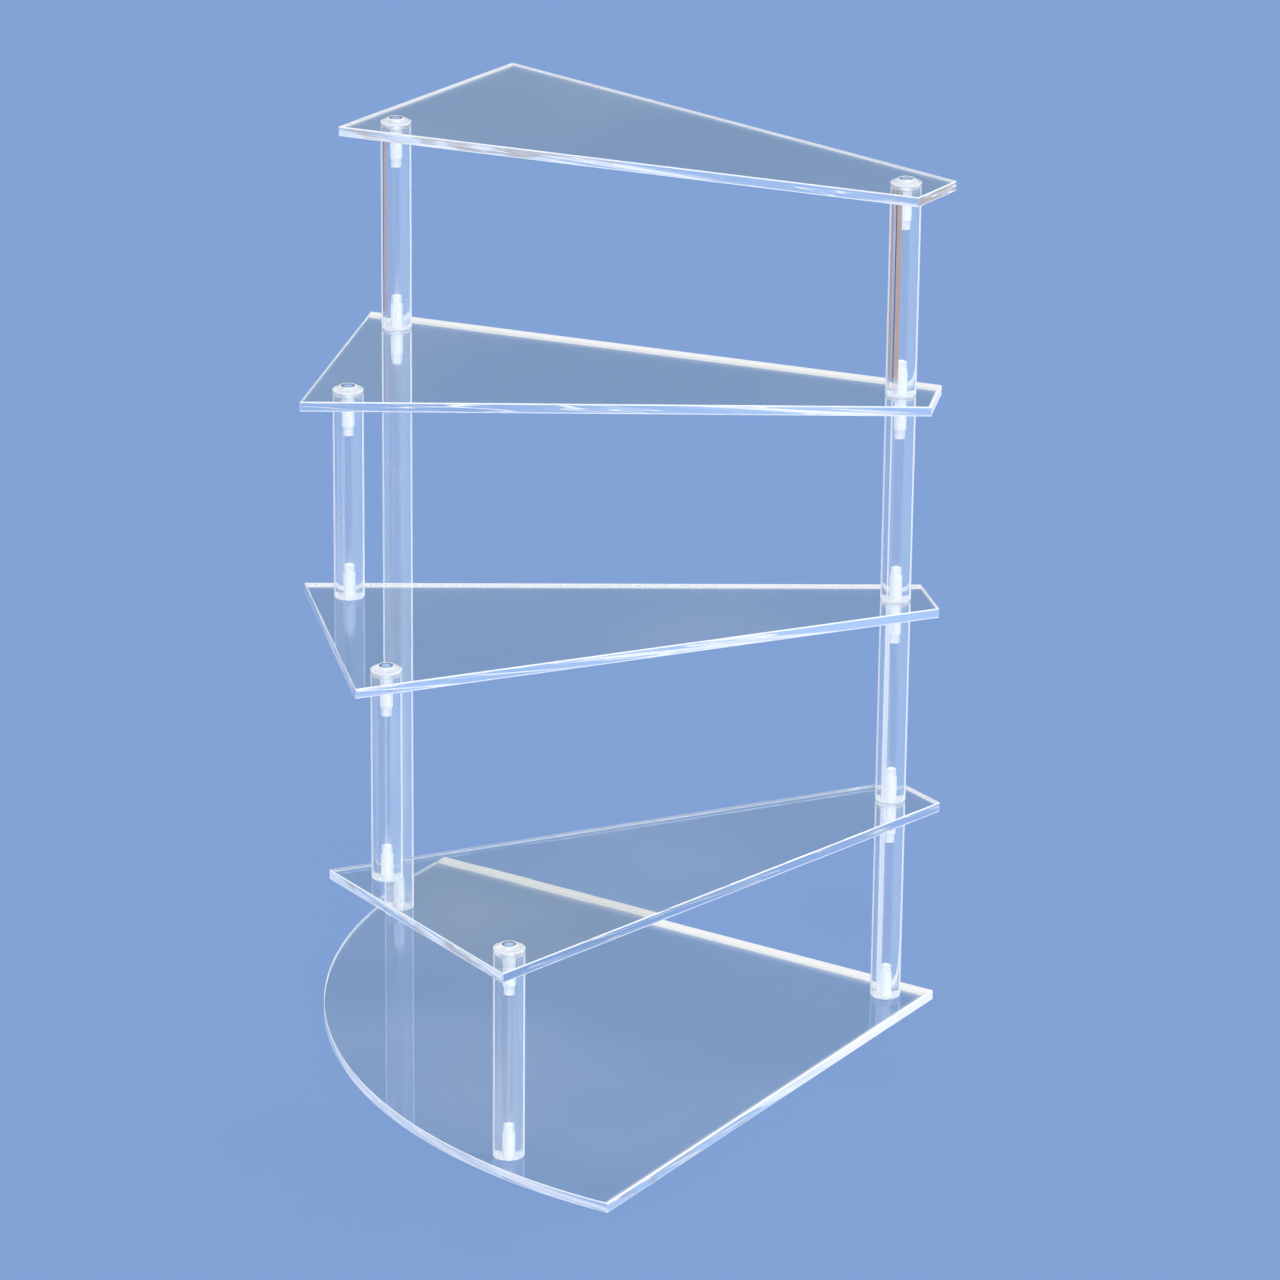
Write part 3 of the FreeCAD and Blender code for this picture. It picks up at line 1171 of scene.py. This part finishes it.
print("a climb goes up", round(STOREY / MM), "mm at each step")

# %% [markdown]
# ## The rods
# The column is four short rods on top of each other, joined through the shelves. Each shelf's
# front corner stands on a short rod of its own, and the last of these has a long rod below it
# that goes down past two shelves to the base.

# %% Make the rods
ROD_SIDES = 72


def new_rod(node):
    return cut_threads(turned("rod_master", rod_rings(height(node)), ROD_SIDES))


climb("column_rods", new_rod, "rod_acrylic", numbered("pivot_post", STEPS), outer=False)
climb("outer_rods", new_rod, "rod_acrylic", numbered("outer_post", STEPS))
climb("long_rod", new_rod, "rod_acrylic", ["support_post"], start=STEPS - 1)

# %% [markdown]
# ## The studs
# A joining stud goes through a shelf and holds the rods above and below it together. A cap stud
# ends in the cap. Both are cut from the same threaded nylon bar, so one list of rings makes them
# all, at the length that the CAD node has.

# %% Make the studs
PIN_SIDES = 36


def new_stud(node):
    return cut_threads(turned("stud_master", stud_rings(height(node)), PIN_SIDES))


climb("column_studs", new_stud, "white_nylon", numbered("pivot_stud", STEPS - 1), outer=False)
climb("column_cap_stud", new_stud, "white_nylon", ["pivot_cap_stud"], outer=False)
climb("outer_cap_studs", new_stud, "white_nylon", numbered("outer_cap_stud", STEPS))
climb("long_rod_stud", new_stud, "white_nylon", ["support_stud"], start=STEPS - 1)

# %% [markdown]
# ## The screws
# Each lowest rod is held down from below by a countersunk screw, whose head hides inside the
# plate's underside.

# %% Make the screws
def new_screw(node):
    return slotted(cut_threads(turned("screw_master", screw_rings(height(node)), PIN_SIDES)))


climb("outer_screws", new_screw, "white_nylon", numbered("outer_post_screw", STEPS - 1))
climb("column_screw", new_screw, "white_nylon", ["pivot_foot_screw"], outer=False)
climb("long_rod_screw", new_screw, "white_nylon", ["support_foot_screw"], start=STEPS - 1)

# %% [markdown]
# ## The caps
# A cap closes the column and each of the four front corners. They are all the same button.

# %% Make the caps
def new_cap(node):
    return turned("cap_master", cap_rings(height(node)), ROD_SIDES)


climb("outer_caps", new_cap, "cap_acrylic", numbered("outer_cap", STEPS))
climb("column_cap", new_cap, "cap_acrylic", ["pivot_cap"], outer=False)

# %% [markdown]
# ## The floor
# The stand is on an even blue ground that runs up behind it without a corner. Clear plastic takes
# its colour from that ground, so it is kept blue, but pale and plain. A floor that is large
# enough to reach the horizon does the same as a curved paper sweep and needs no shape.

# %% Lay the floor
BACKDROP = (0.23, 0.37, 0.68)
FLOOR_REACH = 60.0
FLOOR_DROP = -0.2 * MM


def lay_floor():
    corners = [(-1, -1), (1, -1), (1, 1), (-1, 1)]
    places = [(x * FLOOR_REACH, y * FLOOR_REACH, FLOOR_DROP) for x, y in corners]
    mesh = bpy.data.meshes.new("floor")
    mesh.from_pydata(places, [], [(0, 1, 2, 3)])
    material, graph = new_material("floor")
    paper = {"Base Color": rgba(BACKDROP), "Roughness": 1.0, "Specular IOR Level": 0.0}
    graph.output(graph.principled(paper))
    mesh.materials.append(material)
    put("floor", mesh)


lay_floor()
print("floor reaches", FLOOR_REACH, "m each way")

# %% [markdown]
# ## The room
# Glass shows whatever it mirrors and bends, so the room matters more than the lamps. What the
# camera sees, what a plate mirrors and what is seen through a rod is one and the same room: the
# backdrop's blue near the floor, with a darker ceiling above it, which makes the plates a little
# darker than the ground. What lights dull things is bright and low all round, as from large soft
# panels, so that upright sides and threads are as bright as the faces that look up.

# %% Light the room
CEILING = (0.19, 0.25, 0.26)
LOW_LIGHT = (2.3, 2.3, 2.3)
HIGH_LIGHT = (0.28, 0.28, 0.29)
CEILING_FROM = (0.08, 0.22)
PANELS_TO = (0.28, 0.42)

world = bpy.data.worlds.new("studio")
scene.world = world
world.use_nodes = True
studio = Graph(world.node_tree)
way = studio.node("ShaderNodeTexCoord", out="Generated")
high_up = studio.split(way)[2]
looked_at = studio.node("ShaderNodeLightPath", out="Is Camera Ray")
mirrored = looked_at.beside("Is Glossy Ray")
bent = looked_at.beside("Is Transmission Ray")
room = studio.blend(studio.ramp(high_up, *CEILING_FROM), BACKDROP, CEILING)
panels = studio.blend(studio.ramp(high_up, *PANELS_TO), LOW_LIGHT, HIGH_LIGHT)
light = studio.blend(looked_at.highest(mirrored).highest(bent), panels, room)
background = studio.node("ShaderNodeBackground", {}, {"Color": light})
studio.node("ShaderNodeOutputWorld", {}, {"Surface": background})
print("the room's light has", len(world.node_tree.nodes), "nodes")

# %% [markdown]
# ## The lamps
# Three soft suns give the caps and edges a direction: a key from the right of the camera, one
# from the side and a weak one from behind. They stand high enough that no shelf mirrors them
# into the camera, because a plate would then turn into a white sheet.

# %% Place the lamps
SUN_WIDTH = 16
SUNS = {"key": (40, 42, 1.05), "side": (115, 42, 0.52), "behind": (205, 52, 0.48)}

for name, (azimuth, elevation, strength) in SUNS.items():
    lamp = bpy.data.lights.new(name, "SUN")
    lamp.energy = strength
    lamp.angle = math.radians(SUN_WIDTH)
    holder = put(name, lamp)
    holder.rotation_mode = "QUATERNION"
    way = direction(math.radians(azimuth), math.radians(elevation))
    holder.rotation_quaternion = way.to_track_quat("Z", "Y")
    print(f"{name}: {elevation} degrees up, strength {strength}")

# %% [markdown]
# ## Light paths and colour
# A ray may cross a dozen surfaces between the front and the back of a stack of plates, and one
# that runs out of bounces comes back black, so the glass gets many. The Standard view keeps
# colours as they are written.

# %% Set the light paths
LIGHT_PATHS = {
    "max_bounces": 32,
    "transmission_bounces": 32,
    "glossy_bounces": 16,
    "transparent_max_bounces": 32,
}
for name, count in LIGHT_PATHS.items():
    setattr(scene.cycles, name, count)
scene.view_settings.view_transform = "Standard"
print("light paths:", LIGHT_PATHS)

# %% [markdown]
# ## The size
# Nothing here may make the stand larger than the CAD says.
